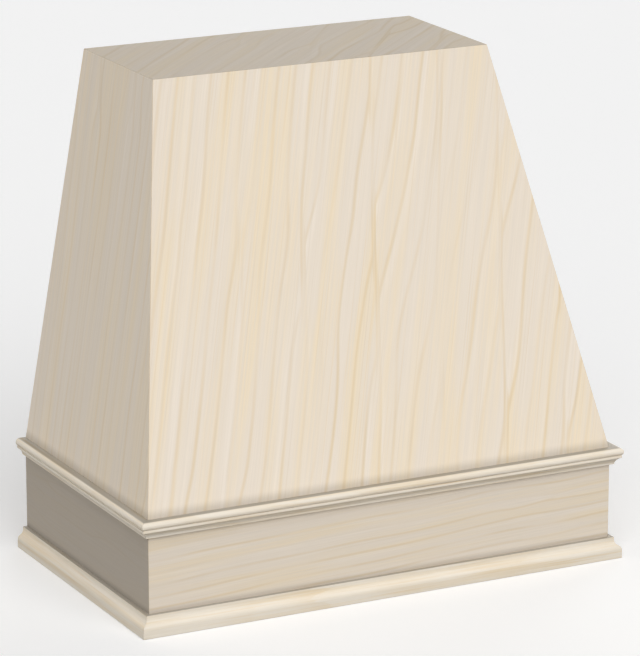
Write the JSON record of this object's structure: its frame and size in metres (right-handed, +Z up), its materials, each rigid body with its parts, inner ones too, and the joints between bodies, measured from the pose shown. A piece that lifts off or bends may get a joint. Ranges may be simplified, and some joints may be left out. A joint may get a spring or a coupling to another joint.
{
  "type": "wooden range hood cover",
  "caption": "Tapered wooden range hood cover with a straight apron, mitred mouldings at its foot and over the joint, a closed flat top and an open back with rails for the wall.",
  "frame": {"origin": "middle of the footprint, mouldings included, on the underside", "axes": "+X to the right along the wall, +Y towards the wall, +Z up; the front faces -Y"},
  "size_m": [0.9524, 0.5524, 0.9144],
  "materials": {
    "panel_maple": "sanded, unfinished maple with long fine grain",
    "moulding_maple": "planed, unfinished solid maple, grain along the length",
    "inner_timber": "sawn and planed softwood, unfinished",
    "screw_steel": "yellow zinc plated steel"
  },
  "bodies": {
    "root": {"front_panel": "panel_maple", "left_side_panel": "panel_maple", "right_side_panel": "panel_maple", "top_panel": "panel_maple", "apron_front": "panel_maple", "apron_left": "panel_maple", "apron_right": "panel_maple", "base_moulding_front": "moulding_maple", "base_moulding_left": "moulding_maple", "base_moulding_right": "moulding_maple", "joint_moulding_front": "moulding_maple", "joint_moulding_left": "moulding_maple", "joint_moulding_right": "moulding_maple", "liner_rail_front": "inner_timber", "liner_rail_back": "inner_timber", "liner_rail_left": "inner_timber", "liner_rail_right": "inner_timber", "wall_rail_lower": "inner_timber", "wall_rail_upper": "inner_timber", "apron_cleat_front": "inner_timber", "apron_cleat_left": "inner_timber", "apron_cleat_right": "inner_timber", "canopy_cleat_front": "inner_timber", "canopy_cleat_left": "inner_timber", "canopy_cleat_right": "inner_timber", "top_cleat_front": "inner_timber", "top_cleat_left": "inner_timber", "top_cleat_right": "inner_timber", "canopy_batten_left": "inner_timber", "canopy_batten_right": "inner_timber", "apron_block_left": "inner_timber", "apron_block_right": "inner_timber", "joint_screw_front_1": "screw_steel", "joint_screw_front_2": "screw_steel", "joint_screw_front_3": "screw_steel", "joint_screw_left_1": "screw_steel", "joint_screw_left_2": "screw_steel", "joint_screw_right_1": "screw_steel", "joint_screw_right_2": "screw_steel"}
  },
  "joints": []
}
